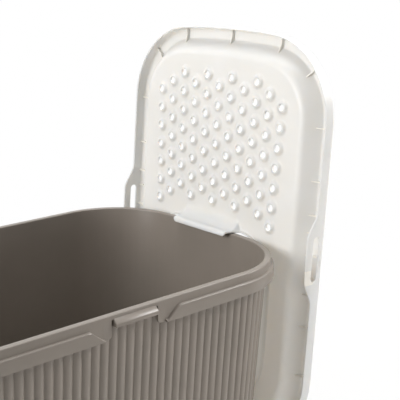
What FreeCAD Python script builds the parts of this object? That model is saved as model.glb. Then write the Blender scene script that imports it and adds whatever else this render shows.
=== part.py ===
import FreeCAD
import Part
import math
import os

# Top-entry litter box: a tapered fluted tub, with its perforated lid hung on one end of the rim.
# The origin is the centre of the tub's underside, +X points to the end that carries the lid, +Z is up.

Vector = FreeCAD.Vector

# Tub outline, measured over the skirt of the rim
tub_length = 585.0
tub_width = 390.0
corner_radius = 101.0
end_bow = 15.0
rim_height = 386.0

# Tub shell
wall = 1.9
floor = 3.0
wall_draft = 4.2
base_edge_radius = 14.0
plinth_height = 24.0

# Half-round flutes round the outside of the tub, each drawn with a shoulder on both sides of its crest
flute_pitch = 12.2
flute_height = 2.4
flute_shoulder = 0.78

# Rim: a bead on top, a collar under it, then a ledge for the lid and a skirt
rim_width = 8.3
rim_wall = 2.5
bead_radius = 1.2
collar_height = 10.7
ledge_width = 4.1
ledge_edge_radius = 1.6
skirt_height = 16.5

# Clip on each long side: the ledge dips beside a window, and a lug bar stands in the window
window_half_length = 35.0
window_corner_radius = 4.0
dip_start = 63.5
dip_end = 43.5
dip_radius = 8.0
lug_half_length = 29.5
lug_top = 4.2
lug_height = 10.0
lug_proud = 1.2
lug_ramp = 6.0
lug_radius = 1.6

# Lid shell
lid_wall = 2.2
lid_panel = 2.4
lid_clearance = 0.7
lid_depth = 18.5
lid_edge_radius = 5.0
border_width = 17.0
dish_slope_width = 18.8
dish_below_edge = 6.0
dish_radius = 14.0
dish_lip_radius = 3.0

# Ears of the lid, slotted for the lug bars
ear_drop = 16.0
ear_half_length = 58.0
ear_flat_half_length = 34.0
ear_radius = 16.0
clip_clearance = 0.6
slot_end_clearance = 1.5

# Web ribs in the channel between the skirt and the dish of the lid
rib_thickness = 1.8
rib_seat_gap = 1.5
rib_dish_drop = 4.5
side_rib_places = (0.0, 31.0, 55.0, 101.0, 172.0)
end_rib_place = 96.0

# Perforated landing: a hexagonal field of drain holes, its rows bent about a far centre
hole_pitch = 27.6
hole_diameter = 9.0
hole_rows = 15
hole_first_row = 224.0
hole_columns = 5
row_bend_radius = 2800.0
hole_edge_margin = 25.0
crater_height = 3.4
crater_base_diameter = 21.0
crater_wall = 1.5
crater_sides = 6

# Entry hole of the lid, with a turned lip
entry_half_width = 120.0
entry_end = 232.0
entry_radius = 55.0
entry_lip_height = 3.5

# Hook: a tongue at the entry hole that goes over the rim when the lid hangs
hook_seat = 8.6
hook_reach = 25.7
hook_drop = 5.0
hook_half_width = 61.5
hook_tip_half_width = 45.5
hook_bend_radius = 7.0
hook_root_radius = 14.0
hook_clear_zone = 100.0
hang_clearance = 0.4
hang_offset = 7.0

# Flats that the curves of the outline are drawn with, to keep the model light
corner_facets = 8
end_facets = 4
round_facets = 2
radius_share = 0.98

# Lines of the tub that follow from the sizes above
half_length = tub_length / 2
half_width = tub_width / 2
end_radius = (half_width ** 2 + end_bow ** 2) / (2 * end_bow)
end_centre_x = half_length - end_radius
corner_y = half_width - corner_radius
corner_x = end_centre_x + math.sqrt((end_radius - corner_radius) ** 2 - corner_y ** 2)
corner_end_angle = math.degrees(math.atan2(corner_y, corner_x - end_centre_x))
collar_inset = ledge_width
rim_inset = ledge_width + rim_width
ledge_z = rim_height - collar_height
skirt_bottom_z = ledge_z - skirt_height
wall_top_z = rim_height - bead_radius
draft = math.tan(math.radians(wall_draft))

# Lines of the lid: its z = 0 is the free edge of its skirt
lid_inner_inset = collar_inset - lid_clearance
lid_outer_inset = lid_inner_inset - lid_wall
border_under_z = lid_depth - lid_panel
dish_top_inset = lid_outer_inset + border_width
dish_slope = dish_slope_width / (border_under_z + dish_below_edge)
dish_skin = lid_panel * math.sqrt(1 + dish_slope ** 2)
dish_turn = math.degrees(math.atan2(1, dish_slope))
dish_floor_z = lid_panel - dish_below_edge
dish_edge_inset = dish_top_inset + dish_slope_width


def on_arc(centre_x, centre_y, radius, degrees):
    angle = math.radians(degrees)
    return Vector(centre_x + radius * math.cos(angle), centre_y + radius * math.sin(angle), 0)


def outline_points(inset, z):
    """Outline of the box at z, drawn in by inset: straight long sides, bowed ends and round corners."""
    corner = corner_radius - inset
    end = end_radius - inset
    turn = corner_end_angle
    bearings = [90 - (90 - turn) * step / corner_facets for step in range(corner_facets)]
    half = [on_arc(corner_x, corner_y, corner, bearing) for bearing in bearings]
    bearings = [turn - 2 * turn * step / end_facets for step in range(end_facets)]
    half += [on_arc(end_centre_x, 0, end, bearing) for bearing in bearings]
    bearings = [-turn - (90 - turn) * step / corner_facets for step in range(corner_facets + 1)]
    half += [on_arc(corner_x, -corner_y, corner, bearing) for bearing in bearings]
    return [Vector(point.x * sign, point.y * sign, z) for sign in (1, -1) for point in half]


def outline(inset, z):
    points = outline_points(inset, z)
    return Part.makePolygon(points + points[:1])


def prism(wire, height):
    return Part.Face(wire).extrude(Vector(0, 0, height))


def solid_between(rings):
    """Solid with flat faces from one ring of points to the next, closed at both ends."""
    loops = [rings[0], rings[-1]]
    for lower, upper in zip(rings, rings[1:]):
        loops += [[lower[k - 1], lower[k], upper[k], upper[k - 1]] for k in range(len(lower))]
    faces = [Part.Face(Part.makePolygon(loop + loop[:1])) for loop in loops]
    return Part.makeSolid(Part.makeShell(faces))


def stack(profile):
    """Solid through a stack of outlines, given as pairs of inset and z from the lowest up."""
    return solid_between([outline_points(inset, z) for inset, z in profile])


def round_steps(edge_inset, z, radius, turn, rise, inward=1):
    """Steps of a rounded edge, from the level face at z to the wall that leaves it at an angle."""
    start = edge_inset + inward * radius * math.tan(math.radians(turn) / 2)
    steps = []
    for step in range(round_facets + 1):
        angle = math.radians(turn) * step / round_facets
        inset = start - inward * radius * math.sin(angle)
        steps.append((inset, z + rise * radius * (1 - math.cos(angle))))
    return steps


def inset_of(x, y):
    """How far a point lies inside the skirt outline."""
    across = abs(x)
    if across <= corner_x:
        return half_width - abs(y)
    bearing = math.degrees(math.atan2(abs(y), across - end_centre_x))
    if bearing <= corner_end_angle:
        return end_radius - math.hypot(across - end_centre_x, y)
    return corner_radius - math.hypot(across - corner_x, abs(y) - corner_y)


def rounded_wire(points, radii):
    """Closed wire through the points, each corner rounded by its own radius, 0 for a sharp one."""
    edges = []
    joints = []
    for index, point in enumerate(points):
        before = (points[index - 1] - point).normalize()
        after = (points[(index + 1) % len(points)] - point).normalize()
        radius = radii[index]
        if radius == 0:
            joints.append((point, point))
            continue
        half = before.getAngle(after) / 2
        reach = radius / math.tan(half)
        inward = (before + after).normalize()
        middle = point + inward * (radius / math.sin(half) - radius)
        joints.append((point + before * reach, point + after * reach))
        edges.append(Part.Arc(joints[-1][0], middle, joints[-1][1]).toShape())
    for index, joint in enumerate(joints):
        edges.append(Part.makeLine(joint[1], joints[(index + 1) % len(joints)][0]))
    return Part.Wire(Part.__sortEdges__(edges))


def plate(points, radii, direction):
    """Solid with a rounded outline, pushed along a direction."""
    return Part.Face(rounded_wire(points, radii)).extrude(direction)


def wall_inset(z):
    """Inset of the tub's inner face at a height: the walls lean out towards the rim."""
    return rim_inset + (wall_top_z - z) * draft


def flute_stations():
    """Points on the skirt outline with their outward normals, four to a flute, once round."""
    stations = []
    side_count = 4 * round(2 * corner_x / flute_pitch)
    corner_arc = math.radians(90 - corner_end_angle) * (corner_radius - rim_inset)
    corner_count = 4 * round(corner_arc / flute_pitch)
    end_arc = math.radians(2 * corner_end_angle) * (end_radius - rim_inset)
    end_count = 4 * round(end_arc / flute_pitch)
    for sign in (1, -1):
        for step in range(side_count):
            x = -corner_x + 2 * corner_x * step / side_count
            stations.append((Vector(x, half_width, 0) * sign, Vector(0, 1, 0) * sign))
        runs = [(corner_x, corner_y, corner_radius, 90, corner_end_angle, corner_count)]
        runs.append((end_centre_x, 0, end_radius, corner_end_angle, -corner_end_angle, end_count))
        runs.append((corner_x, -corner_y, corner_radius, -corner_end_angle, -90, corner_count))
        for centre_x, centre_y, radius, first, last, count in runs:
            for step in range(count):
                bearing = first + (last - first) * step / count
                normal = on_arc(0, 0, 1, bearing)
                point = on_arc(centre_x, centre_y, radius, bearing)
                stations.append((point * sign, normal * sign))
    return stations


def fluted_wire(inset, z):
    """Outline of flutes whose valleys lie at an inset."""
    heights = (0, flute_shoulder * flute_height, flute_height, flute_shoulder * flute_height)
    points = []
    for index, (point, normal) in enumerate(flute_stations()):
        points.append(point - normal * (inset - heights[index % 4]) + Vector(0, 0, z))
    return Part.makePolygon(points + points[:1])


def make_rim():
    """Bead, collar, ledge and skirt, hollow underneath as moulded rims are."""
    low = ledge_z - rim_wall
    bead_z = rim_height - bead_radius
    outer = stack([(collar_inset, low), (collar_inset, bead_z), (collar_inset + bead_radius, rim_height)])
    inner = stack([(rim_inset, low), (rim_inset, bead_z), (rim_inset - bead_radius, rim_height)])
    edge_z = ledge_z - ledge_edge_radius
    skirt = stack([(0, skirt_bottom_z), (0, edge_z), (ledge_edge_radius, ledge_z)])
    skirt = skirt.cut(prism(outline(rim_wall, skirt_bottom_z), skirt_height - rim_wall))
    skirt = skirt.cut(prism(outline(collar_inset + rim_wall, skirt_bottom_z), skirt_height))
    hollow = prism(outline(collar_inset + rim_wall, skirt_bottom_z), rim_height - rim_wall - skirt_bottom_z)
    crest_inset = wall_inset(wall_top_z) - wall - flute_height
    hollow = hollow.cut(prism(outline(crest_inset, skirt_bottom_z), rim_height - skirt_bottom_z))
    return outer.cut(inner).fuse(skirt).cut(hollow)


def slanted_ledge():
    """Region above the dipping ledge of a clip, as x and z, with its corner radii."""
    beyond = dip_start + dip_radius * 2
    half = [(beyond, rim_height), (beyond, ledge_z), (dip_start, ledge_z), (dip_end, skirt_bottom_z)]
    half.append((window_half_length, skirt_bottom_z - rim_wall))
    both = half + [(-x, z) for x, z in reversed(half)]
    radii = (0, 0, dip_radius, 0, 0)
    return both, radii + radii[::-1]


def add_clip(tub):
    """Clip on the long side at -Y: dipped ledge, tabs beside a window and the lug bar in it."""
    skirt_y = -half_width
    collar_y = skirt_y + collar_inset
    behind_y = collar_y + rim_wall
    root_y = skirt_y + wall_inset(rim_height) - wall / 2
    front_y = skirt_y - lug_proud
    slope = (dip_start - dip_end) / (ledge_z - skirt_bottom_z)
    web = rim_wall * math.sqrt(1 + slope ** 2) / slope
    for sign in (1, -1):
        corners = [(dip_start, ledge_z), (dip_end, skirt_bottom_z), (dip_end + web, skirt_bottom_z)]
        corners.append((dip_start + web, ledge_z))
        points = [Vector(x * sign, behind_y, z) for x, z in corners]
        tub = tub.fuse(plate(points, (0, 0, 0, 0), Vector(0, skirt_y - behind_y, 0)))
    tab_height = collar_height + skirt_height - rim_wall
    tab = Part.makeBox(2 * dip_start, rim_wall, tab_height, Vector(-dip_start, collar_y, skirt_bottom_z))
    corners, radii = slanted_ledge()
    points = [Vector(x, collar_y, z) for x, z in corners]
    tub = tub.fuse(tab).cut(plate(points, radii, Vector(0, front_y - collar_y, 0)))
    window_top = rim_height - lug_top - lug_radius
    flare = window_half_length + 2 * window_corner_radius
    corners = [(window_half_length, window_top), (window_half_length, skirt_bottom_z)]
    corners += [(flare, skirt_bottom_z), (flare, skirt_bottom_z - rim_wall)]
    corners += [(-x, z) for x, z in reversed(corners)]
    points = [Vector(x, behind_y, z) for x, z in corners]
    radii = (lug_radius, window_corner_radius, 0, 0)
    tub = tub.cut(plate(points, radii + radii[::-1], Vector(0, front_y - behind_y, 0)))
    high = rim_height - lug_top
    low = high - lug_height
    corners = [(root_y, high), (collar_y, high), (front_y, high - lug_ramp), (front_y, low), (root_y, low)]
    points = [Vector(-lug_half_length, y, z) for y, z in corners]
    bar = plate(points, (0, 0, lug_radius, lug_radius, 0), Vector(2 * lug_half_length, 0, 0))
    corners = [(-lug_half_length, root_y), (-lug_half_length, front_y)]
    corners += [(-x, y) for x, y in reversed(corners)]
    points = [Vector(x, y, low) for x, y in corners]
    end_radius_of_bar = 2 * lug_radius
    bar = bar.common(plate(points, (0, end_radius_of_bar, end_radius_of_bar, 0), Vector(0, 0, lug_height)))
    return tub.fuse(bar)


def make_tub():
    valley = wall_inset(plinth_height) - wall
    top_valley = wall_inset(wall_top_z) - wall
    flutes = [fluted_wire(valley, plinth_height), fluted_wire(top_valley, wall_top_z)]
    shell = Part.makeLoft(flutes, True, True)
    turn = 90 - wall_draft
    foot = round_steps(wall_inset(0) - wall, 0, base_edge_radius, turn, 1)
    plinth = stack(foot + [(valley, plinth_height)])
    cavity = round_steps(wall_inset(floor), floor, base_edge_radius, turn, 1)
    cavity = stack(cavity + [(wall_inset(rim_height), rim_height)])
    tub = shell.fuse(plinth).cut(cavity).fuse(make_rim())
    half_turn = FreeCAD.Rotation(Vector(0, 0, 1), 180)
    for side in range(2):
        tub = add_clip(tub)
        tub = tub.transformed(FreeCAD.Placement(Vector(), half_turn).toMatrix())
    return tub


def dish_inset(z):
    """Inset of the underside of the lid's dish at a height."""
    return dish_top_inset + (border_under_z - z) * dish_slope


def make_lid_shell():
    """Skirted border round a sunken panel, both of even thickness."""
    edge = round_steps(lid_outer_inset, lid_depth, lid_edge_radius, 90, -1)
    cap = stack([(lid_outer_inset, 0)] + edge[::-1])
    corner_z = lid_depth - lid_edge_radius
    corner_inset = lid_inner_inset + border_under_z - corner_z
    channel = stack([(lid_inner_inset, 0), (lid_inner_inset, corner_z), (corner_inset, border_under_z)])
    under = round_steps(dish_edge_inset, -dish_below_edge, dish_radius, dish_turn, 1)
    under = stack(under + [(dish_inset(border_under_z), border_under_z)])
    floor_inset = dish_inset(dish_floor_z) + dish_skin
    recess = round_steps(floor_inset, dish_floor_z, dish_radius - lid_panel, dish_turn, 1)
    lip = round_steps(dish_inset(lid_depth) + dish_skin, lid_depth, dish_lip_radius, dish_turn, -1, -1)
    recess = stack(recess + lip[::-1])
    return cap.cut(channel).fuse(under).cut(recess)


def make_ears():
    """Slotted ear in the middle of each long side of the skirt."""
    ears = []
    cuts = []
    for sign in (1, -1):
        face_y = sign * (half_width - lid_outer_inset)
        inward = Vector(0, -sign * lid_wall, 0)
        half = [(ear_half_length + ear_radius, lid_edge_radius), (ear_half_length + ear_radius, 0)]
        half += [(ear_half_length, 0), (ear_flat_half_length, -ear_drop)]
        corners = half + [(-x, z) for x, z in reversed(half)]
        radii = (0, 0, ear_radius, ear_radius)
        ears.append(plate([Vector(x, face_y, z) for x, z in corners], radii + radii[::-1], inward))
        high = collar_height - lug_top + clip_clearance
        low = high - lug_height - 2 * clip_clearance
        reach = lug_half_length + slot_end_clearance
        corners = [(-reach, low), (reach, low), (reach, high), (-reach, high)]
        slot_radius = (high - low) / 2 * radius_share
        cuts.append(plate([Vector(x, face_y, z) for x, z in corners], (slot_radius,) * 4, inward))
    return ears, cuts


def rib_places():
    """Points on the skirt outline, with outward normals, where the channel is bridged by a rib."""
    places = []
    for sign in (1, -1):
        for x in side_rib_places:
            for side in ((1, -1) if x else (1,)):
                places.append((Vector(x * side, half_width * sign, 0), Vector(0, sign, 0)))
        end_turn = math.degrees(math.asin(end_rib_place / end_radius))
        for bearing in (-end_turn, 0, end_turn):
            point = on_arc(end_centre_x, 0, end_radius, bearing)
            places.append((point * sign, on_arc(0, 0, 1, bearing) * sign))
        middle = (90 + corner_end_angle) / 2
        for side in (1, -1):
            point = on_arc(corner_x, corner_y * side, corner_radius, middle * side)
            places.append((point * sign, on_arc(0, 0, 1, middle * side) * sign))
    return places


def make_ribs():
    low = collar_height + rib_seat_gap
    dish_z = low - rib_dish_drop
    top = border_under_z + lid_panel / 2
    skirt = lid_inner_inset - lid_wall / 2
    corners = [(skirt, top), (skirt, low), (rim_inset + rib_seat_gap, low)]
    corners += [(dish_inset(z) + dish_skin / 2, z) for z in (dish_z, top)]
    ribs = []
    for point, normal in rib_places():
        along = normal.cross(Vector(0, 0, 1)) * rib_thickness
        points = [point - normal * inset + Vector(0, 0, z) - along / 2 for inset, z in corners]
        ribs.append(plate(points, (0,) * len(points), along))
    return ribs


def hole_places():
    """Centres of the drain holes on the landing half of the lid, which lies at -X."""
    places = []
    row_step = hole_pitch / 2
    column_step = hole_pitch * math.sqrt(3) / 2
    field_middle = hole_first_row - row_step * (hole_rows - 1) / 2
    for row in range(hole_rows):
        for column in range(-hole_columns, hole_columns + 1):
            if (row + column) % 2 == 0:
                continue
            along = hole_first_row - row * row_step
            across = column * column_step * (1 + (along - field_middle) / row_bend_radius)
            along -= across ** 2 / (2 * row_bend_radius)
            near_hook = along < hook_seat + hole_pitch and abs(across) < hook_clear_zone
            if inset_of(along, across) > dish_edge_inset + hole_edge_margin and not near_hook:
                places.append(Vector(-along, across, 0))
    return places


def crater_cone(place, base_radius, base_z, tip_radius, tip_z):
    """Few-sided cone under or through the panel at a drain hole."""
    rings = []
    for radius, z in ((base_radius, base_z), (tip_radius, tip_z)):
        bearings = [360 * side / crater_sides for side in range(crater_sides)]
        rings.append([on_arc(place.x, place.y, radius, bearing) + Vector(0, 0, z) for bearing in bearings])
    return solid_between(rings)


def make_craters():
    """Raised crater under each drain hole, and the funnel through it."""
    bore = hole_diameter / 2
    tip_z = -dish_below_edge - crater_height
    craters = []
    bores = []
    for place in hole_places():
        tip_radius = bore + crater_wall
        craters.append(crater_cone(place, crater_base_diameter / 2, -dish_below_edge, tip_radius, tip_z))
        bores.append(crater_cone(place, bore + lid_panel, dish_floor_z, bore, tip_z))
    return craters, bores


def entry_outline(offset, z):
    reach = entry_half_width + offset
    near = -hook_seat - offset
    far = entry_end + offset
    points = [Vector(near, -reach, z), Vector(far, -reach, z), Vector(far, reach, z), Vector(near, reach, z)]
    return rounded_wire(points, (entry_radius + offset,) * 4)


def make_hook():
    """Shelf at the edge of the entry hole with a tongue turned down at its end."""
    seat = -hook_seat
    back = seat - lid_panel
    root = back - hook_root_radius
    face = -dish_below_edge - hook_reach
    tip = seat + hook_drop
    corners = [(root, dish_floor_z), (root, -dish_below_edge), (back, -dish_below_edge), (back, face)]
    corners += [(tip, face), (tip, face + lid_panel), (seat, face + lid_panel), (seat, dish_floor_z)]
    radii = (0, 0, hook_root_radius * radius_share, hook_bend_radius, 0, 0, hook_bend_radius - lid_panel, 0)
    points = [Vector(x, -hook_half_width, z) for x, z in corners]
    strip = plate(points, radii, Vector(0, 2 * hook_half_width, 0))
    corners = [(root, hook_half_width), (back + lid_panel / 2, hook_half_width), (tip, hook_tip_half_width)]
    corners += [(x, -y) for x, y in reversed(corners)]
    bend = hook_bend_radius / 2
    points = [Vector(x, y, face) for x, y in corners]
    return strip.common(plate(points, (0, bend, bend, bend, bend, 0), Vector(0, 0, dish_floor_z - face)))


def make_lid():
    lid = make_lid_shell()
    ears, slots = make_ears()
    craters, bores = make_craters()
    lip_low = -dish_below_edge - entry_lip_height
    lip = prism(entry_outline(lid_panel, lip_low), dish_floor_z - lip_low)
    entry = prism(entry_outline(0, lip_low), lid_depth - lip_low)
    lid = lid.multiFuse(ears + make_ribs() + craters + [lip, make_hook()])
    cutters = Part.makeCompound(slots + bores)
    return lid.cut(cutters).cut(entry)


def hang(lid):
    """Turn the lid up on its end and set the hook on the rim, leaning out as the wall does."""
    turn = FreeCAD.Rotation(Vector(0, 1, 0), 90 + wall_draft)
    edge = Vector(half_length - collar_inset, 0, rim_height + hang_clearance)
    place_x = half_length + hang_offset
    lean = math.radians(wall_draft)
    depth = (edge.x - place_x - hook_seat * math.sin(lean)) / math.cos(lean)
    place_z = edge.z + depth * math.sin(lean) - hook_seat * math.cos(lean)
    return lid.transformed(FreeCAD.Placement(Vector(place_x, 0, place_z), turn).toMatrix())


tub = make_tub()
lid = hang(make_lid())
os.makedirs("parts", exist_ok=True)
tub.exportStep("parts/tub.step")
lid.exportStep("parts/lid.step")
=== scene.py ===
# %% [markdown]
# A top-entry litter box is two big mouldings of polypropylene: a fluted taupe tub and a white lid.
# Here the lid hangs by its hook on one end of the tub's rim, with its underside towards us.
# The measured solids come in first as a fixed frame. Both mouldings are then drawn again as smooth
# surfaces of the same size, because soft edges and half-round flutes make plastic look moulded.

# %% The measured solids
import math

import bmesh
import bpy
from mathutils import Matrix, Vector


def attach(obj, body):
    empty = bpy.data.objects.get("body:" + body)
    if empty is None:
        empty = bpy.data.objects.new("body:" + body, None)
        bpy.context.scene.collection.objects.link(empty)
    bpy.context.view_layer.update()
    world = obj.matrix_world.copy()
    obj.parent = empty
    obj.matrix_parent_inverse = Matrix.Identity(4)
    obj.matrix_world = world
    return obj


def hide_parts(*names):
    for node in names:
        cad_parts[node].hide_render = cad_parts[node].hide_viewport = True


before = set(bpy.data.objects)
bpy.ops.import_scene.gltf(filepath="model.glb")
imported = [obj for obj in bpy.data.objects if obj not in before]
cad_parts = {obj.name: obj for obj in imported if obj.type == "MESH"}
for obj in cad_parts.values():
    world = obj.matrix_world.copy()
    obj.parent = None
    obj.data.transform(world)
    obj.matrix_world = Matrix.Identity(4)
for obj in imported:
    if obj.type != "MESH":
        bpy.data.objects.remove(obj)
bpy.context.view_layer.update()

mm = 0.001

# %% [markdown]
# Tub and lid share one outline: straight long sides, ends that bow out a little and large round corners.
# Every contour of both pieces is that outline drawn in by some inset. So one function that walks round
# it, and gives each place its outward normal, serves for everything. It also tells where on a flute the
# place is.

# %% The shared outline
half_length, half_width, corner_radius, end_bow = 292.5, 195.0, 114.0, 15.0
end_radius = (half_width ** 2 + end_bow ** 2) / (2 * end_bow)
end_centre = half_length - end_radius
corner_y = half_width - corner_radius
corner_x = end_centre + math.sqrt((end_radius - corner_radius) ** 2 - corner_y ** 2)
end_turn = math.atan2(corner_y, corner_x - end_centre)
flutes = {"side": 29, "corner": 12, "end": 15}
off_side = 999  # stands for "not on a long side"


def heading(bearing):
    return Vector((math.cos(bearing), math.sin(bearing)))


def walk_outline(steps, side_places=()):
    """Places round the outline: point, normal, share of a flute, distance from a long side's middle."""
    places = []
    quarter = math.pi / 2
    for turn in (1, -1):
        count = steps * flutes["side"]
        runs = [-corner_x + 2 * corner_x * k / count for k in range(count)]
        runs = sorted(runs + [x for x in side_places if min(abs(x - r) for r in runs) > 0.005])
        for x in runs:
            share = (x + corner_x) / (2 * corner_x) * flutes["side"] % 1
            places.append((Vector((x * turn, half_width * turn)), Vector((0, turn)), share, abs(x)))
        bends = [(corner_x, corner_y, corner_radius, quarter, end_turn, "corner")]
        bends += [(end_centre, 0, end_radius, end_turn, -end_turn, "end")]
        bends += [(corner_x, -corner_y, corner_radius, -end_turn, -quarter, "corner")]
        for x, y, radius, first, last, name in bends:
            count = steps * flutes[name]
            for k in range(count):
                normal = heading(first + (last - first) * k / count)
                point = Vector((x, y)) + radius * normal
                places.append((point * turn, normal * turn, k / steps % 1, off_side))
    return places


print("outline:", len(walk_outline(2)), "places, corner centre", round(corner_x, 1), round(corner_y, 1))

# %% [markdown]
# A moulded shell is one continuous skin. It is made from a flat grid, wrapped round the outline like a
# sheet of paper round a tin: each column of the grid stands at one place of the outline, and each row is
# one contour. Welding the first column to the last closes the skin.

# %% Wrapping a grid, and joining pieces
def wrap_grid(name, columns, rows, place):
    """Grid whose points are set in millimetres by place(column, row), closed round the columns."""
    bpy.ops.object.select_all(action="DESELECT")
    bpy.ops.mesh.primitive_grid_add(x_subdivisions=columns, y_subdivisions=rows - 1)
    piece = bpy.context.object
    piece.name = piece.data.name = name
    for index, vertex in enumerate(piece.data.vertices):
        row, column = divmod(index, columns + 1)
        vertex.co = Vector(place(column % columns, row)) * mm
    bpy.ops.object.mode_set(mode="EDIT")
    bpy.ops.mesh.select_all(action="SELECT")
    bpy.ops.mesh.remove_doubles(threshold=1e-7)
    bpy.ops.object.mode_set(mode="OBJECT")
    print(name, "wrapped from", columns, "columns and", rows, "contours")
    return piece


def join(pieces):
    """One object out of several, under the first one's name."""
    bpy.ops.object.select_all(action="DESELECT")
    for piece in pieces:
        piece.select_set(True)
    bpy.context.view_layer.objects.active = pieces[0]
    bpy.ops.object.join()
    return pieces[0]


def copy_at(piece, place):
    """A copy with its own mesh, moved or turned by a matrix."""
    copy = bpy.data.objects.new(piece.name, piece.data.copy())
    bpy.context.collection.objects.link(copy)
    copy.data.transform(place)
    return copy


# %% [markdown]
# By hand, edges and faces are picked with the mouse. In code they are picked by a test of their place.
# Rounded edges come up in both sections, so one function gives the contours of a rounding.

# %% Picking parts, and rounded edges
def edit(piece):
    bpy.ops.object.select_all(action="DESELECT")
    bpy.context.view_layer.objects.active = piece
    piece.select_set(True)
    bpy.ops.object.mode_set(mode="EDIT")


def pick(piece, kind, test):
    """In edit mode, select only the vertices, edges or faces of a piece that pass a test."""
    bpy.ops.mesh.select_mode(type=kind)
    bpy.ops.mesh.select_all(action="DESELECT")
    mesh = bmesh.from_edit_mesh(piece.data)
    parts = {"VERT": mesh.verts, "EDGE": mesh.edges, "FACE": mesh.faces}[kind]
    chosen = [part for part in parts if test(part)]
    for part in chosen:
        part.select_set(True)
    bmesh.update_edit_mesh(piece.data)
    return len(chosen)


def open_edge_at(z, tolerance=0.05):
    """Test for the edges of an open end that lies level at z millimetres."""
    return lambda edge: edge.is_boundary and all(abs(v.co.z / mm - z) < tolerance for v in edge.verts)


def arc(inset, z, radius, first, last, steps):
    """Contours of a rounded edge about a centre, given by its inset and height; angle 0 is outwards."""
    angles = [math.radians(first + (last - first) * k / steps) for k in range(steps + 1)]
    return [(inset - radius * math.cos(a), z + radius * math.sin(a)) for a in angles]


print("a quarter round of 2 mm:", [(round(i, 2), round(z, 2)) for i, z in arc(2, 0, 2, 0, 90, 2)])

# %% [markdown]
# The tub's walls lean by the mould's draft, so that the moulding comes off its core, and half-round
# flutes stiffen them. In the middle of each long side the ledge of the rim dips away for the lid's ear.

# %% Walls, flutes and ledge of the tub
rim, ledge, skirt_low, window_top = 386.0, 375.3, 358.8, 380.2
collar_inset, bead_inset, bead_round, knee_round = 4.1, 12.4, 1.4, 1.8
hollow_inset, hollow_top, skirt_wall = 6.6, 383.5, 2.5
wall, foot_round, floor_height = 1.9, 14.0, 3.0
draft = math.tan(math.radians(4.2))
flute_height, flute_pitch = 2.4, 12.2
flute_round = (flute_pitch ** 2 / 4 + flute_height ** 2) / (2 * flute_height)
window, tab, dip_low, dip_high = 33.0, 37.0, 43.5, 63.5


def inner_inset(z):
    return bead_inset + (rim - bead_round - z) * draft


def flute(share):
    """Height of a half-round flute at a share of its width."""
    across = (share - 0.5) * flute_pitch
    return math.sqrt(flute_round ** 2 - across ** 2) - flute_round + flute_height


def ledge_height(away):
    """The ledge is level, then slopes down towards the clip with a soft knee."""
    fall = (dip_high - away) * (ledge - skirt_low - 0.7) / (dip_high - dip_low)
    soft = 2.2
    if fall < soft:
        fall = max(0, fall + soft) ** 2 / (4 * soft)
    return ledge - fall


print("ledge:", ledge_height(off_side), "mm high, at the clip", round(ledge_height(dip_low), 1))

# %% [markdown]
# The section runs from the underside out round the foot, up the fluted wall, behind the hollow rim, down
# and up the skirt, over the ledge, collar and bead, and down inside to the floor. At the clip the same
# contours are simply led another way: the skirt folds back on to the collar, and over the window the
# collar ends early.

# %% The section of the tub
wall_rows = [(20, 0), (24, 0), (24.6, 0.35), (25.6, 0.62), (27.5, 0.86)]
wall_rows += [(z, 1) for z in (31, 80, 130, 180, 230, 280, 320, 350, 366, hollow_top)]
sink_share = 0.04  # flutes show through faintly on the inside


def rim_rows(away):
    """Contours of the hollow and of the skirt, as many at the clip as elsewhere."""
    knee = max(ledge_height(away) - knee_round, skirt_low + 0.7)
    hollow = [(hollow_inset, ledge - skirt_wall), (skirt_wall, ledge - skirt_wall)]
    hollow += [(skirt_wall, skirt_low + 0.5)]
    skirt = [(2.0, skirt_low), (0.6, skirt_low), (0.15, skirt_low + 0.15), (0, skirt_low + 0.6)]
    skirt += arc(knee_round, knee, knee_round, 0, 90, 5)
    skirt += [(3.6, knee + 1.8), (3.95, knee + 1.9), (collar_inset, knee + 2.3)]
    if away < dip_high:
        hollow = [(inset, skirt_low) for inset in (hollow_inset, 4.4, 2.6)]
    if away < dip_low:
        low = skirt_low
        if away < tab:
            low += 4 - math.sqrt(max(0, 16 - (tab - away) ** 2))
        if away < window:
            low = window_top
        hollow = [(hollow_inset, low + 0.3), (6.3, low), (5.8, low)]
        skirt = [(4.9 - 0.1 * k, low) for k in range(4)] + arc(4.5, low + 0.4, 0.4, -60, 0, 5)
        skirt += [(collar_inset, low + 0.5 + 0.1 * k) for k in range(3)]
    return [(hollow_inset, hollow_top)] + hollow + skirt


def tub_section(away):
    """Contours of the tub at a distance from the clip: inset, height, share of the flute's height."""
    foot = arc(inner_inset(foot_round) - wall + foot_round, foot_round, foot_round, -90, 0, 7)
    outside = [(inner_inset(z) - wall, z, share) for z, share in wall_rows]
    bead = arc(collar_inset + bead_round, rim - bead_round, bead_round, 0, 90, 5) + [(8.2, rim)]
    bead += arc(bead_inset - bead_round, rim - bead_round, bead_round, 90, 180, 5)
    inside = [(inner_inset(z), z, sink_share) for z in (350, 300, 250, 200, 150, 100, 60, 30)]
    low = floor_height + foot_round
    base = arc(inner_inset(low) + foot_round, low, foot_round, 0, -90, 7)
    plain = [(i, z, 0) for i, z in rim_rows(away) + bead]
    return [(i, z, 0) for i, z in foot] + outside + plain + inside + [(i, z, 0) for i, z in base]


print("tub section:", [len(tub_section(away)) for away in (0, 50, off_side)], "contours")

# %% [markdown]
# Now the section goes round the outline. The clip's corners are sharp along the rim, so extra columns
# stand close on both sides of each of them. Underside and floor are still open, and one face fills each.

# %% The tub's skin
near = 0.02
sharp = [edge + step for edge in (window, dip_low, dip_high) for step in (-near, near)]
tub_places = walk_outline(8, [s * x for x in sharp + [34, 35.5, tab] for s in (1, -1)])
tub_sections = {away: tub_section(away) for away in {p[3] for p in tub_places}}


def tub_point(column, row):
    point, normal, share, away = tub_places[column]
    inset, z, height = tub_sections[away][row]
    flat = point - normal * (inset - flute(share) * height)
    return flat.x, flat.y, z


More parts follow.
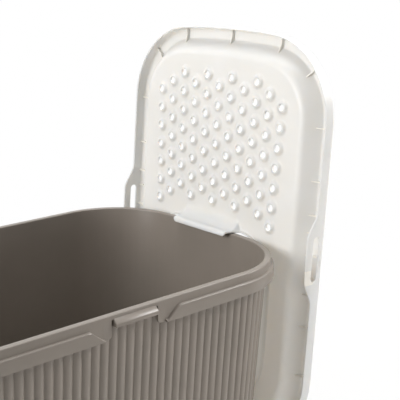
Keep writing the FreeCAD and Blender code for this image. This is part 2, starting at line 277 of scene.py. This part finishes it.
tub = wrap_grid("tub_moulding", len(tub_places), len(tub_sections[off_side]), tub_point)
edit(tub)
for z in (0, floor_height):
    count = pick(tub, "EDGE", open_edge_at(z))
    bpy.ops.mesh.edge_face_add()
    print("tub: end at", z, "mm closed over", count, "edges")
bpy.ops.mesh.select_all(action="SELECT")
bpy.ops.mesh.normals_make_consistent(inside=False)
bpy.ops.object.mode_set(mode="OBJECT")

# %% [markdown]
# The lug bar in each window catches the slot in the lid's ear. By hand this is a box: a cut across it
# marks where the collar is, the front top edge is pulled down to make the ramp that the ear rides over,
# and the front is bevelled. The bar of the other side is a copy, turned half round.

# %% The lug bars
lug_length, lug_front, lug_back, lug_middle, lug_height = 60.6, -196.2, -185.2, 376.8, 10
bpy.ops.object.select_all(action="DESELECT")
bpy.ops.mesh.primitive_cube_add(size=1)
lug = bpy.context.object
lug.name = "lug_bar"
for vertex in lug.data.vertices:
    x, y, z = vertex.co
    depth = lug_front if y < 0 else lug_back
    vertex.co = Vector((lug_length * x, depth, lug_middle + lug_height * z)) * mm
edit(lug)
bpy.ops.mesh.select_all(action="SELECT")
bpy.ops.mesh.bisect(plane_co=(0, -190.9 * mm, 0), plane_no=(0, 1, 0))
pick(lug, "VERT", lambda v: v.co.y < -0.195 and v.co.z > 0.378)
bpy.ops.transform.translate(value=(0, 0, -5.5 * mm))
pick(lug, "EDGE", lambda e: min(v.co.y for v in e.verts) < -0.195)
bpy.ops.mesh.bevel(offset=1.0 * mm, segments=3, profile=0.5)
bpy.ops.mesh.select_all(action="SELECT")
bpy.ops.mesh.normals_make_consistent(inside=False)
bpy.ops.object.mode_set(mode="OBJECT")
far_lug = copy_at(lug, Matrix.Rotation(math.pi, 4, "Z"))
tub = join([tub, lug, far_lug])
print("tub:", len(tub.data.polygons), "faces")

# %% [markdown]
# The lid is drawn lying flat, free edge of the skirt at height 0, and hung up at the end. The free edge
# drops in the middle of the long sides to make the ears, and two contours open out there for the slots.

# %% Dish, ears and slots of the lid
lid_top, border_low, panel_low, panel_high = 18.5, 16.1, -6.0, -3.6
sheet, skirt_inside, skirt_outside = 2.4, 3.4, 1.2
dish_slope = 18.8 / 22.1
dish_turn = math.degrees(math.atan2(1, dish_slope))
panel_edge, dish_round, dish_round_top, lip_round = 43.46, 14, 11.6, 3
slot_half, slot_end, ear_drop = 5.6, 31, 16


def dish_inset(z):
    return 18.2 + (border_low - z) * dish_slope


def ease(t):
    """Smooth step from 0 to 1."""
    t = min(1, max(0, t))
    return t * t * (3 - 2 * t)


def free_edge(away):
    """The skirt's edge is level, and falls in an S to the ear."""
    return -ear_drop * ease((64.5 - away) / 37)


def slot_gap(away):
    """Half the height of the slot, and of the plain strip that carries its contours on beyond it."""
    if away > slot_end:
        return min(1.0, 0.15 + (away - slot_end) * 0.2)
    return max(0.15, math.sqrt(max(0, slot_half ** 2 - max(0, away - 25.4) ** 2)))


print("ear:", -free_edge(0), "mm deep, slot", 2 * slot_gap(0), "mm high")

# %% [markdown]
# The lid's section runs from the sunken panel's underside up the dish, across the channel that seats on
# the rim, down and up the skirt and back into the dish from above, at an even wall thickness.

# %% The section of the lid
def lid_section(away):
    edge = free_edge(away)
    middle = 1.5 if away < 60 else min(3, 1.5 + (away - 60) * 0.1)
    high, low = middle + slot_gap(away), middle - slot_gap(away)
    turns = [math.radians(dish_turn) * k / 7 for k in range(8)]
    under = [(panel_edge - dish_round * math.sin(a), panel_low + dish_round * (1 - math.cos(a)))
             for a in turns]
    under += [(dish_inset(z), z) for z in (2, 6, 10, 13, 14.8)]
    under += [(18.6, 15.55), (17.6, 15.95), (16.4, border_low), (6.4, border_low)]
    under += arc(6.2, border_low - 2.8, 2.8, 90, 0, 4)[1:]
    skirt = [(skirt_inside, z) for z in (high, low, edge + 0.5)] + [(3.25, edge + 0.15), (2.9, edge)]
    skirt += [(1.7, edge), (1.35, edge + 0.15)] + [(skirt_outside, z) for z in (edge + 0.5, low, high)]
    over = arc(6.2, lid_top - 5, 5, 0, 90, 7) + [(10, lid_top)]
    lip = 19.3 - lip_round * math.tan(math.radians(dish_turn / 2))
    over += [(lip + lip_round * math.sin(a), lid_top - lip_round * (1 - math.cos(a))) for a in turns]
    over += [(dish_inset(z) + 3.15, z) for z in (13, 9, 5, 2)]
    over += [(panel_edge - dish_round_top * math.sin(a), panel_high + dish_round_top * (1 - math.cos(a)))
             for a in reversed(turns)]
    return under + skirt + over


print("lid section:", [len(lid_section(away)) for away in (0, 50, off_side)], "contours")

# %% [markdown]
# The lid's skin is wrapped the same way, with columns closer together at the ears. For each slot the
# faces between its two contours are deleted, inside and outside, and the two loops are bridged.

# %% The lid's skin, with the ear slots
ear_places = [*range(0, 76, 2), 25.4, 26.5, 27.5, 28.5, 29.3, 30.3, 30.8, slot_end]
lid_places = walk_outline(3, [s * x for x in ear_places for s in (1, -1)])
lid_sections = {away: lid_section(away) for away in {p[3] for p in lid_places}}


def lid_point(column, row):
    point, normal, share, away = lid_places[column]
    inset, z = lid_sections[away][row]
    flat = point - normal * inset
    return flat.x, flat.y, z


lid = wrap_grid("lid_moulding", len(lid_places), len(lid_sections[off_side]), lid_point)
edit(lid)
for side in (1, -1):
    def in_slot(face):
        x, y, z = face.calc_center_median() / mm
        return side * y > 190 and abs(x) < slot_end and abs(z - 1.5) < 0.4 and abs(face.normal.y) > 0.9

    count = pick(lid, "FACE", in_slot)
    bpy.ops.mesh.delete(type="FACE")
    pick(lid, "EDGE", lambda e: e.is_boundary and all(side * v.co.y > 0.19 for v in e.verts))
    bpy.ops.mesh.bridge_edge_loops()
    print("lid: ear slot opened through", count, "faces")
bpy.ops.object.mode_set(mode="OBJECT")

# %% [markdown]
# Litter falls off a cat's paws through the drain holes. From below each one is a small crater, from above
# a funnel. The holes stand in a honeycomb, so one six-sided cell with its crater is modelled, copied to
# every place and welded to its neighbours. The rows bend a little about a far centre, so the whole field
# is bent at the end.

# %% One crater in its cell
hole_pitch, first_row, row_bend = 27.6, 224.0, 2800.0
crater = [(11.8, -6), (10.4, -6.22), (9.2, -6.95), (8.0, -8.05), (7.0, -8.95), (6.3, -9.32), (5.6, -9.4),
          (4.9, -9.25), (4.5, -8.7), (4.5, -6.9), (4.9, -5.6), (5.8, -4.5), (7.0, -3.85), (8.4, -3.6)]
cell_columns = 24


def cell_point(column, row):
    angle = 2 * math.pi * column / cell_columns
    to_flat = (angle + math.pi / 6) % (math.pi / 3) - math.pi / 6
    edge = hole_pitch / 2 / math.cos(to_flat)
    rings = [(edge, panel_low)] + crater + [(edge, panel_high)]
    radius, z = rings[row]
    return radius * math.cos(angle), radius * math.sin(angle), z


cell = wrap_grid("crater_cell", cell_columns, len(crater) + 2, cell_point)

# %% [markdown]
# The corners of the dish and the middle above the hook stay plain, so some places of the honeycomb are
# left out. A row is half a pitch on from the last, and its holes stand between those of that row.

# %% The field of drain holes
def hole_kept(row, column):
    corner = row == 0 and abs(column) == 5
    above_hook = row == 14 and abs(column) < 5
    return (row + column) % 2 and not corner and not above_hook


cells = []
for row in range(15):
    for column in range(-5, 6):
        if hole_kept(row, column):
            middle = Vector((row * hole_pitch / 2 - first_row, column * hole_pitch * 0.866, 0))
            cells.append(copy_at(cell, Matrix.Translation(middle * mm)))
bpy.data.objects.remove(cell)
field = join(cells)
for vertex in field.data.vertices:
    along, across = -vertex.co.x / mm, vertex.co.y / mm
    across *= 1 + (along - first_row + 7 * hole_pitch / 2) / row_bend
    vertex.co.x, vertex.co.y = -(along - across ** 2 / (2 * row_bend)) * mm, across * mm
print("lid:", len(cells), "drain holes")

# %% [markdown]
# The cat goes in by the big hole in the lid. Its edge is walked like the outline: the end by the hook,
# then corner, side, corner, far end and back, with the normals pointing into the panel.

# %% The edge of the entry hole
entry_width, entry_near, entry_far, near_round, far_round = 116.5, -8.6, 232.0, 55.0, 70.0
hook_columns, corner_columns, side_columns = 97, 20, 24


def entry_places():
    """Places round the hole with normals into the panel, closer together along the hook."""
    straight, low = entry_width - near_round, entry_width - far_round
    places = [(Vector((entry_near, straight * (2 * k / hook_columns - 1))), Vector((-1, 0)))
              for k in range(hook_columns)]
    near_x, far_x = entry_near + near_round, entry_far - far_round
    corners = [(near_x, straight, near_round, 180, far_x - near_x), (far_x, low, far_round, 90, 2 * low)]
    corners += [(far_x, -low, far_round, 0, far_x - near_x), (near_x, -straight, near_round, -90, 0)]
    for x, y, radius, first, run in corners:
        for k in range(corner_columns):
            normal = heading(math.radians(first - 90 * k / corner_columns))
            places.append((Vector((x, y)) + radius * normal, normal))
        angle = math.radians(first - 90)
        normal = Vector((round(math.cos(angle)), round(math.sin(angle))))
        start, tangent = Vector((x, y)) + radius * normal, Vector((normal.y, -normal.x))
        if run:
            places += [(start + tangent * run * k / side_columns, normal) for k in range(side_columns)]
    return places


entry_ring = entry_places()
print("entry hole:", len(entry_ring), "places round its edge")

# %% [markdown]
# The hole has a turned lip. By the rim the lip grows into the hook, a tongue that reaches over the rim and
# turns down behind it. All are the same strip round the hole, made deeper or turned further: panel, root
# rounding, bend, tip, and back up to the panel's top.

# %% The sections of lip and hook
def strip(reach, depth, root, bend_radius):
    """Contours of lip or hook, from the panel's underside round to its top: offset and height."""
    low = panel_low - depth
    eighths = [math.pi / 2 * k / 8 for k in range(9)]
    path = [(sheet + root + 1.5, panel_low)]
    path += [(sheet + root - root * math.sin(a), panel_low - root * (1 - math.cos(a))) for a in eighths]
    outer, inner = bend_radius, max(0.6, bend_radius - sheet)
    path += [(sheet - outer + outer * math.cos(a), low + outer - outer * math.sin(a)) for a in eighths]
    if reach > 0:
        tip, swing = [(0, 0), (0.35, 0.35), (0.5, 1.2), (0.35, 2.05), (0, sheet)], inner
    else:
        tip, swing = [(0, 0), (0.35, 0.2), (0.5, 0.5), (0.58, 1.0), (0.6, 1.6)], 0
    path += [(-reach - out, low + up) for out, up in tip]
    path += [(-swing + swing * math.sin(a), low + sheet + inner - inner * math.cos(a))
             for a in (math.pi / 2 * k / 6 for k in range(7))]
    path += [(0, panel_high - 1.2), (0.35, panel_high - 0.35), (1.2, panel_high), (7, panel_high)]
    return path


hook_depth, hook_root, lip_bend, no_reach = 25.7, 18.0, 1.8, -0.6
lip_path = strip(no_reach, 3.5, 2.5, lip_bend)
side_path = strip(no_reach, 8.0, 7.0, lip_bend)
shoulder_path = strip(no_reach, hook_depth, hook_root, lip_bend)
hook_path = strip(4.5, hook_depth, hook_root, 7.0)
print("lip and hook:", len(lip_path), "contours each, hook", hook_depth, "mm deep")

# %% [markdown]
# Each contour moves smoothly from its place in the lip to its place in the tongue, which gives the soft
# shoulders of a moulded hook. The tongue first grows to its full depth, and only then turns down, so that
# the shoulders pass above the rim and not through it.

# %% The entry hole and the hook
def entry_point(column, row):
    place, normal = entry_ring[column]
    tongue = ease((61.5 - abs(place.y)) / 8) if normal.x < -0.999 else 0
    hook = tongue * ease((56 - abs(place.y)) / 6)
    side = ease((place.x - 22) / 40)
    shares = [(lip_path, 1 - tongue - side), (side_path, side)]
    shares += [(shoulder_path, tongue - hook), (hook_path, hook)]
    offset = sum(path[row][0] * share for path, share in shares)
    z = sum(path[row][1] * share for path, share in shares)
    flat = place + normal * offset
    return flat.x, flat.y, z


entry = wrap_grid("entry_strip", len(entry_ring), len(lip_path), entry_point)

# %% [markdown]
# What is left of the panel is flat, above and below. The skin, the field and the strip are joined and
# welded, and each flat face is filled between its three open edges.

# %% The panel
lid = join([lid, field, entry])
edit(lid)
bpy.ops.mesh.select_all(action="SELECT")
bpy.ops.mesh.remove_doubles(threshold=2e-5)
for z in (panel_low, panel_high):
    count = pick(lid, "EDGE", open_edge_at(z))
    bpy.ops.mesh.fill(use_beauty=True)
    print("lid: panel at", z, "mm filled inside", count, "edges")
bpy.ops.mesh.select_all(action="SELECT")
bpy.ops.mesh.normals_make_consistent(inside=False)
left = pick(lid, "EDGE", lambda e: not e.is_manifold)
bpy.ops.object.mode_set(mode="OBJECT")
print("lid:", len(lid.data.polygons), "faces,", left, "edges left open")

# %% [markdown]
# Thin ribs bridge the channel between skirt and dish and stiffen the border. One rib is a plain plate cut
# in two, its lower edge drawn up where the tub's rim passes, and then given its thickness.

# %% One rib
rib_thickness, rib_cut, rib_seat = 1.8, -14.5, 11.6
bpy.ops.object.select_all(action="DESELECT")
bpy.ops.mesh.primitive_plane_add(size=1)
rib = bpy.context.object
rib.name = "channel_rib"
rib_corners = [(-2.4, 11.3), (-27.3, 7.7), (-2.4, 17.2), (-18.8, 17.2)]
for vertex, (x, z) in zip(rib.data.vertices, rib_corners):
    vertex.co = Vector((x, -rib_thickness / 2, z)) * mm
edit(rib)
bpy.ops.mesh.select_all(action="SELECT")
bpy.ops.mesh.bisect(plane_co=(rib_cut * mm, 0, 0), plane_no=(1, 0, 0))
pick(rib, "VERT", lambda v: abs(v.co.x / mm - rib_cut) < 0.01 and v.co.z < 0.014)
for vertex in bmesh.from_edit_mesh(rib.data).verts:
    if vertex.select:
        vertex.co.z = rib_seat * mm
bpy.ops.mesh.select_mode(type="FACE")
bpy.ops.mesh.select_all(action="SELECT")
bpy.ops.mesh.extrude_region_move(TRANSFORM_OT_translate={"value": (0, rib_thickness * mm, 0)})
bpy.ops.mesh.select_all(action="SELECT")
bpy.ops.mesh.normals_make_consistent(inside=False)
bpy.ops.object.mode_set(mode="OBJECT")
print("rib:", len(rib.data.polygons), "faces")

# %% [markdown]
# Copies of the rib stand round the outline, square to it: nine on each long side, three on each end and
# one in each corner. They stay a piece of their own, because the lid's plastic lets light through, and a
# plate sunk in its wall would show as a dark bar.

# %% The ribs of the channel
def rib_places():
    side_ribs = (0, 31, 55, 101, 172)
    walk = walk_outline(60, [s * x for s in (1, -1) for x in side_ribs])
    places = [(point, normal) for point, normal, share, away in walk
              if any(abs(away - x) < 1e-6 for x in side_ribs)]
    end_rib, corner_rib = math.asin(96 / end_radius), (math.pi / 2 + end_turn) / 2
    for turn in (1, -1):
        for bearing in (-end_rib, 0, end_rib):
            normal = heading(bearing)
            places.append(((Vector((end_centre, 0)) + end_radius * normal) * turn, normal * turn))
        for side in (1, -1):
            normal = heading(corner_rib * side)
            point = Vector((corner_x, corner_y * side)) + corner_radius * normal
            places.append((point * turn, normal * turn))
    return places


ribs = []
for point, normal in rib_places():
    turn = Matrix.Rotation(math.atan2(normal.y, normal.x), 4, "Z")
    ribs.append(copy_at(rib, Matrix.Translation((point.x * mm, point.y * mm, 0)) @ turn))
rib_count = len(ribs)
bpy.data.objects.remove(rib)
rib_set = join(ribs)
rib_set.name = rib_set.data.name = "channel_ribs"
print("lid:", rib_count, "ribs")

# %% [markdown]
# Now the lid is turned up on its end and hung: a turn about the cross axis, a little past upright so that
# it leans like the tub's wall, and a move that sets the hook just clear of the rim. The place goes into
# the mesh itself. The folded lip is marked first, because it gets a denser white than the thin panel,
# one painted lighter for the light that the lip catches.

# %% Hanging the lid
hang = Matrix.Translation((299.5 * mm, 0, 376.96 * mm)) @ Matrix.Rotation(math.radians(94.2), 4, "Y")
# Lip faces take the second material: the denser white, painted lighter as painted light.
for face in lid.data.polygons:
    in_lip = face.center.x > 15 * mm and face.center.z < -6.6 * mm
    face.material_index = 1 if in_lip else 0
lid.data.transform(hang)
rib_set.data.transform(hang)
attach(rib_set, "lid")
for piece, node in ((tub, "tub"), (lid, "lid")):
    bpy.ops.object.select_all(action="DESELECT")
    bpy.context.view_layer.objects.active = piece
    piece.select_set(True)
    bpy.ops.object.shade_smooth_by_angle(angle=math.radians(38))
    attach(piece, node)
    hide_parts(node)
    low = [min(v.co[k] for v in piece.data.vertices) / mm for k in range(3)]
    high = [max(v.co[k] for v in piece.data.vertices) / mm for k in range(3)]
    print(node, "drawn", [round(v, 1) for v in low + high])

# %% [markdown]
# Colours are written as the sRGB hex values that a paint program shows, but shaders reckon in linear
# light, so one function converts them. Another adds a node with its settings and links in one line.

# %% Colours and nodes
def linear(hex_colour):
    """Linear colour of an sRGB hex value."""
    parts = [int(hex_colour[k:k + 2], 16) / 255 for k in (1, 3, 5)]
    return [c / 12.92 if c <= 0.04045 else ((c + 0.055) / 1.055) ** 2.4 for c in parts] + [1.0]


def add_node(tree, kind, settings=None, links=None):
    """One node with its settings, and with links from other nodes' outputs to its inputs."""
    node = tree.nodes.new(kind)
    for name, value in (settings or {}).items():
        if name in node.inputs:
            node.inputs[name].default_value = value
        else:
            setattr(node, name, value)
    for name, output in (links or {}).items():
        tree.links.new(output, node.inputs[name])
    return node


print("mid grey in linear light:", [round(c, 3) for c in linear("#808080")])

# %% [markdown]
# Polypropylene leaves the mould with a satin skin: a soft sheen, a fine grain from the etched steel, and
# faint clouds where the melt flowed. Thin white polypropylene also lets light in and out again, so its
# shadows stay soft and warm: that is subsurface scattering. Taupe pigment stops it.

# %% The finish of moulded polypropylene
def moulded_polypropylene(name, colour, cloud_colour, roughness, grain, depth):
    material = bpy.data.materials.new(name)
    material.use_nodes = True
    tree = material.node_tree
    shader = tree.nodes["Principled BSDF"]
    shader.inputs["IOR"].default_value = 1.49
    # Red light gets a little further into the plastic than blue.
    shader.inputs["Subsurface Weight"].default_value = 1.0 if depth else 0.0
    shader.inputs["Subsurface Radius"].default_value = (1.0, 0.92, 0.83)
    shader.inputs["Subsurface Scale"].default_value = depth * mm
    place = add_node(tree, "ShaderNodeTexCoord")
    # Flow clouds are some 70 mm across.
    clouds = add_node(tree, "ShaderNodeTexNoise",
                      {"Scale": 1 / (70 * mm), "Detail": 3.0, "Roughness": 0.55},
                      {"Vector": place.outputs["Object"]})
    spread = add_node(tree, "ShaderNodeMapRange", {"From Min": 0.3, "From Max": 0.7},
                      {"Value": clouds.outputs["Fac"]})
    tint = add_node(tree, "ShaderNodeMix", {"data_type": "RGBA"}, {"Factor": spread.outputs["Result"]})
    tint.inputs[6].default_value = linear(colour)
    tint.inputs[7].default_value = linear(cloud_colour)
    tree.links.new(tint.outputs[2], shader.inputs["Base Color"])
    # The mould's grain is about 0.3 mm; it is drawn at 1.2 mm so that it still shows.
    etch = add_node(tree, "ShaderNodeTexNoise", {"Scale": 1 / (1.2 * mm), "Detail": 2.0},
                    {"Vector": place.outputs["Object"]})
    sheen = add_node(tree, "ShaderNodeMapRange", {"To Min": roughness - 0.05, "To Max": roughness + 0.07},
                     {"Value": etch.outputs["Fac"]})
    tree.links.new(sheen.outputs["Result"], shader.inputs["Roughness"])
    relief = add_node(tree, "ShaderNodeBump", {"Strength": grain, "Distance": 0.05 * mm},
                      {"Height": etch.outputs["Fac"]})
    tree.links.new(relief.outputs["Normal"], shader.inputs["Normal"])
    print("finish:", name)
    return material


# %% [markdown]
# Tub and lid are the same plastic in two colours. Where the lid's wall folds double, at the lip, and in
# the ribs, little light comes through, so there the white goes without scattering. That white is also
# painted a lighter cream than the panel's, as painted light for the light that lip and ribs catch.

# %% Taupe and white
taupe = moulded_polypropylene("moulded_taupe_polypropylene", "#8b8279", "#867e75", 0.31, 0.5, 0)
white = moulded_polypropylene("moulded_white_polypropylene", "#dddddc", "#dadad8", 0.36, 0.3, 6.0)
# A lighter cream than the panel's white: painted light for the light that lip and ribs catch.
dense_white_painted_light = moulded_polypropylene("moulded_white_polypropylene_ribs_painted_light", "#f0ece4", "#ece8df", 0.36, 0.3, 0)
dressed = [(tub, [taupe], "taupe_polypropylene")]
dressed += [(lid, [white, dense_white_painted_light], "white_polypropylene")]
dressed += [(rib_set, [dense_white_painted_light], "white_polypropylene")]
for piece, materials, slot in dressed:
    kinds = [face.material_index for face in piece.data.polygons]
    piece.data.materials.clear()
    for material in materials:
        piece.data.materials.append(material)
    piece.data.polygons.foreach_set("material_index", kinds)
    print(piece.name, "is", slot)

# %% [markdown]
# The stage is a plain white floor. To the camera it glows white, so that it needs no extra light, but
# near the box part of it stays ordinary matt paper, and that part keeps the box's soft shadow.

# %% The floor
bpy.ops.object.select_all(action="DESELECT")
bpy.ops.mesh.primitive_plane_add(size=80, location=(0, 0, -0.0005))
floor = bpy.context.object
floor.name = "studio_floor"
paper = bpy.data.materials.new("white_paper")
paper.use_nodes = True
tree = paper.node_tree
tree.nodes.remove(tree.nodes["Principled BSDF"])
matt = add_node(tree, "ShaderNodeBsdfDiffuse", {"Color": linear("#dad8d5")})
bright = add_node(tree, "ShaderNodeEmission", {"Strength": 1.0})
rays = add_node(tree, "ShaderNodeLightPath")
spot = add_node(tree, "ShaderNodeTexCoord")
away = add_node(tree, "ShaderNodeVectorMath", {"operation": "LENGTH"}, {0: spot.outputs["Object"]})
# From 0.5 m to 1.6 m away from the box the glow rises from 85% to all of it.
glow = add_node(tree, "ShaderNodeMapRange",
                {"From Min": 0.5, "From Max": 1.6, "To Min": 0.85, "To Max": 1.0},
                {"Value": away.outputs["Value"]})
seen = add_node(tree, "ShaderNodeMath", {"operation": "MULTIPLY"},
                {0: rays.outputs["Is Camera Ray"], 1: glow.outputs["Result"]})
mixed = add_node(tree, "ShaderNodeMixShader", None,
                 {0: seen.outputs[0], 1: matt.outputs[0], 2: bright.outputs[0]})
tree.links.new(mixed.outputs[0], tree.nodes["Material Output"].inputs["Surface"])
floor.data.materials.append(paper)
print("floor:", floor.name)

# %% [markdown]
# All round there is white too. The camera and reflections see it at full white, while the light that it
# throws on the box stays low, so that the lamps can model the forms.

# %% The surround
world = bpy.data.worlds.new("white_surround")
bpy.context.scene.world = world
world.use_nodes = True
tree = world.node_tree
soft = tree.nodes["Background"]
soft.inputs["Color"].default_value = (1, 1, 1, 1)
soft.inputs["Strength"].default_value = 0.17
clear = add_node(tree, "ShaderNodeBackground", {"Strength": 1.0})
clear.inputs["Color"].default_value = (1, 1, 1, 1)
rays = add_node(tree, "ShaderNodeLightPath")
seen = add_node(tree, "ShaderNodeMath", {"operation": "MAXIMUM"},
                {0: rays.outputs["Is Camera Ray"], 1: rays.outputs["Is Glossy Ray"]})
mixed = add_node(tree, "ShaderNodeMixShader", None,
                 {0: seen.outputs[0], 1: soft.outputs[0], 2: clear.outputs[0]})
tree.links.new(mixed.outputs[0], tree.nodes["World Output"].inputs["Surface"])
print("surround:", world.name)

# %% [markdown]
# Five softboxes light the box. The left one lights the lid's underside, the right one rakes along the
# flutes, a small low one fills the lip of the entry hole and stays out of the reflections, and those
# above and behind keep the inside and the lid's back from going dark.

# %% The lamps
def add_softbox(name, place, aim, size, power):
    lamp = bpy.data.lights.new(name, "AREA")
    lamp.shape = "DISK"
    lamp.size = size
    lamp.energy = power
    holder = bpy.data.objects.new(name, lamp)
    bpy.context.collection.objects.link(holder)
    holder.location = place
    holder.visible_camera = False
    holder.rotation_euler = (Vector(aim) - Vector(place)).to_track_quat("-Z", "Y").to_euler()
    print(name, power, "W")
    return holder


add_softbox("left_softbox", (-2.4, 0.4, 1.2), (0.2, 0, 0.5), 1.6, 55)
add_softbox("right_softbox", (1.3, -0.85, 1.35), (0.25, 0, 0.35), 0.7, 20)
low_softbox = add_softbox("low_softbox", (0.26, -0.72, 0.26), (0.26, -0.15, 0.24), 0.3, 0.4)
low_softbox.visible_glossy = False
add_softbox("top_softbox", (0.3, 0.2, 2.6), (0.1, 0, 0.4), 1.6, 34)
add_softbox("rear_softbox", (2.2, 0.5, 1.3), (0.3, 0, 0.3), 1.4, 21)

# %% [markdown]
# The camera stands where the picture's own perspective puts it: to the left of the long side, a little
# above the rim, looking slightly down with a long lens. Its three axes make up the turn.

# %% The camera
yaw, pitch_down, roll = (math.radians(v) for v in (47.40, 14.73, -0.38))
level = heading(yaw) * math.cos(pitch_down)
forward = Vector((level.x, level.y, -math.sin(pitch_down)))
right = Vector((math.sin(yaw), -math.cos(yaw), 0))
down = forward.cross(right)
right, down = right * math.cos(roll) + down * math.sin(roll), down * math.cos(roll) - right * math.sin(roll)
camera = bpy.data.objects.new("camera", bpy.data.cameras.new("camera"))
bpy.context.collection.objects.link(camera)
turn = Matrix((right, -down, -forward)).transposed().to_4x4()
camera.matrix_world = Matrix.Translation((-0.6019, -0.9504, 0.7648)) @ turn
camera.data.sensor_width = 36
camera.data.lens = 83.57
bpy.context.scene.camera = camera
bpy.context.scene.view_settings.view_transform = "Standard"
print("camera:", [round(v, 3) for v in camera.location], "lens", camera.data.lens, "mm")
